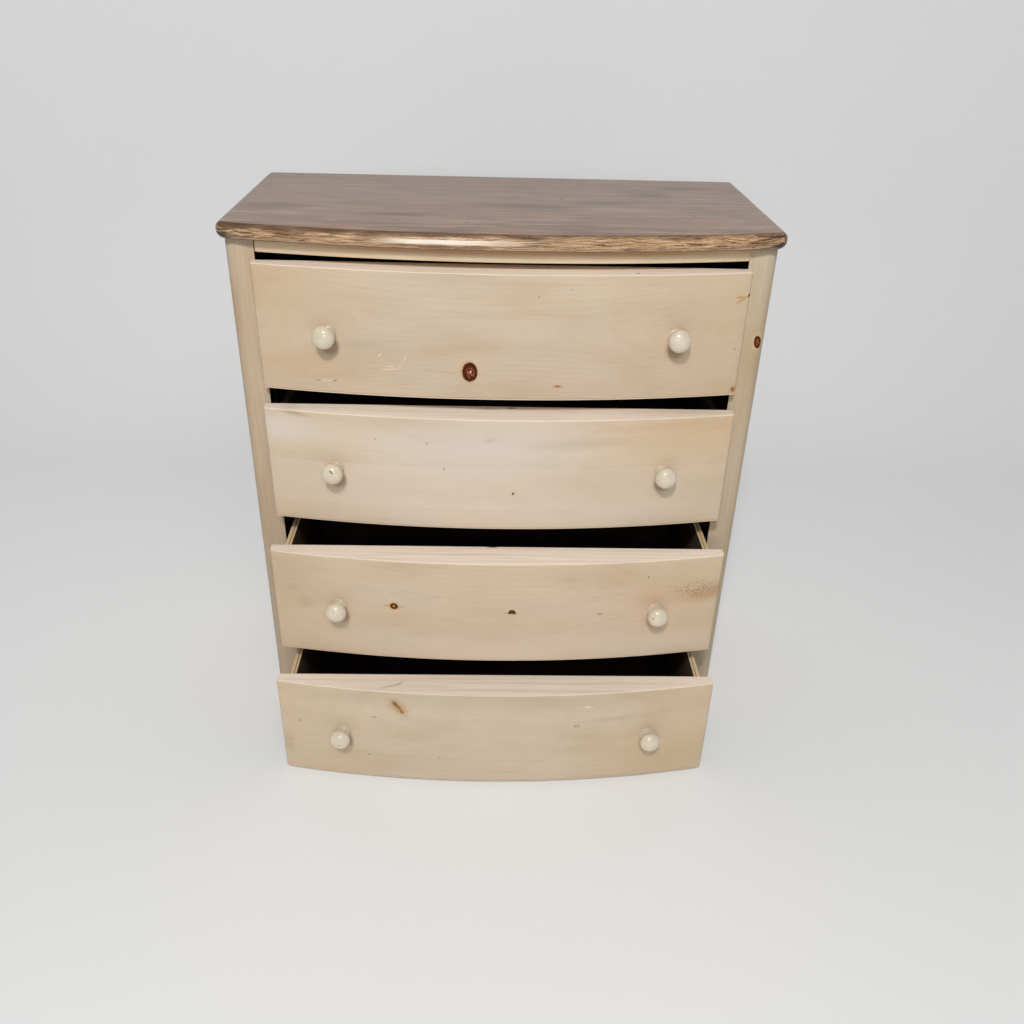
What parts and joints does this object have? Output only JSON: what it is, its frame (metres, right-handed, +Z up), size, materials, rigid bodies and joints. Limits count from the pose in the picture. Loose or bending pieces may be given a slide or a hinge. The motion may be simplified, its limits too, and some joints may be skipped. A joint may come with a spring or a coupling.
{
  "type": "bow front chest of drawers",
  "caption": "Bow-fronted pine chest of drawers with limed fronts, cream ceramic ball knobs and a darker bowed top with a rounded nosing; the drawers slide out on wooden runners.",
  "frame": {"origin": "on the floor, midway across, in the plane of the faces of the two front posts, under the middle of the front edge of the base rail", "axes": "+Z up, +X to the right of someone facing the chest, the front looks along -Y and the drawers open towards -Y"},
  "size_m": [0.815, 0.5685, 0.9],
  "materials": {
    "limed_pine": "limed pine under satin lacquer",
    "stained_top": "grey-brown stain, semi-gloss, with a worn brown nosing",
    "drawer_side_wood": "unfinished pale wood",
    "drawer_bottom_board": "thin unfinished board",
    "inner_pine": "unfinished pine",
    "back_board": "thin unfinished board",
    "knob_glaze": "glossy cream glaze"
  },
  "bodies": {
    "case": {"back_panel": "back_board", "back_rail_bottom": "inner_pine", "back_rail_top": "inner_pine", "base_rail": "inner_pine", "cleat_left": "inner_pine", "cleat_right": "inner_pine", "drawer_rail_1": "inner_pine", "drawer_rail_2": "inner_pine", "drawer_rail_3": "inner_pine", "post_left": "limed_pine", "post_right": "limed_pine", "runner_1_left": "inner_pine", "runner_1_right": "inner_pine", "runner_2_left": "inner_pine", "runner_2_right": "inner_pine", "runner_3_left": "inner_pine", "runner_3_right": "inner_pine", "runner_4_left": "inner_pine", "runner_4_right": "inner_pine", "side_panel_left": "limed_pine", "side_panel_right": "limed_pine", "top_board": "stained_top", "top_rail": "limed_pine"},
    "drawer_1": {"drawer_1_back": "drawer_side_wood", "drawer_1_bottom": "drawer_bottom_board", "drawer_1_front": "limed_pine", "drawer_1_knobs": "knob_glaze", "drawer_1_side_left": "drawer_side_wood", "drawer_1_side_right": "drawer_side_wood"},
    "drawer_2": {"drawer_2_back": "drawer_side_wood", "drawer_2_bottom": "drawer_bottom_board", "drawer_2_front": "limed_pine", "drawer_2_knobs": "knob_glaze", "drawer_2_side_left": "drawer_side_wood", "drawer_2_side_right": "drawer_side_wood"},
    "drawer_3": {"drawer_3_back": "drawer_side_wood", "drawer_3_bottom": "drawer_bottom_board", "drawer_3_front": "limed_pine", "drawer_3_knobs": "knob_glaze", "drawer_3_side_left": "drawer_side_wood", "drawer_3_side_right": "drawer_side_wood"},
    "drawer_4": {"drawer_4_back": "drawer_side_wood", "drawer_4_bottom": "drawer_bottom_board", "drawer_4_front": "limed_pine", "drawer_4_knobs": "knob_glaze", "drawer_4_side_left": "drawer_side_wood", "drawer_4_side_right": "drawer_side_wood"}
  },
  "joints": [
    {"name": "drawer_1_slide", "type": "slide", "parent": "case", "child": "drawer_1", "axis": [0, -1, 0], "range_m": [0, 0.24]},
    {"name": "drawer_2_slide", "type": "slide", "parent": "case", "child": "drawer_2", "axis": [0, -1, 0], "range_m": [-0.0166, 0.2234]},
    {"name": "drawer_3_slide", "type": "slide", "parent": "case", "child": "drawer_3", "axis": [0, -1, 0], "range_m": [-0.0806, 0.1594]},
    {"name": "drawer_4_slide", "type": "slide", "parent": "case", "child": "drawer_4", "axis": [0, -1, 0], "range_m": [-0.1378, 0.1022]}
  ]
}
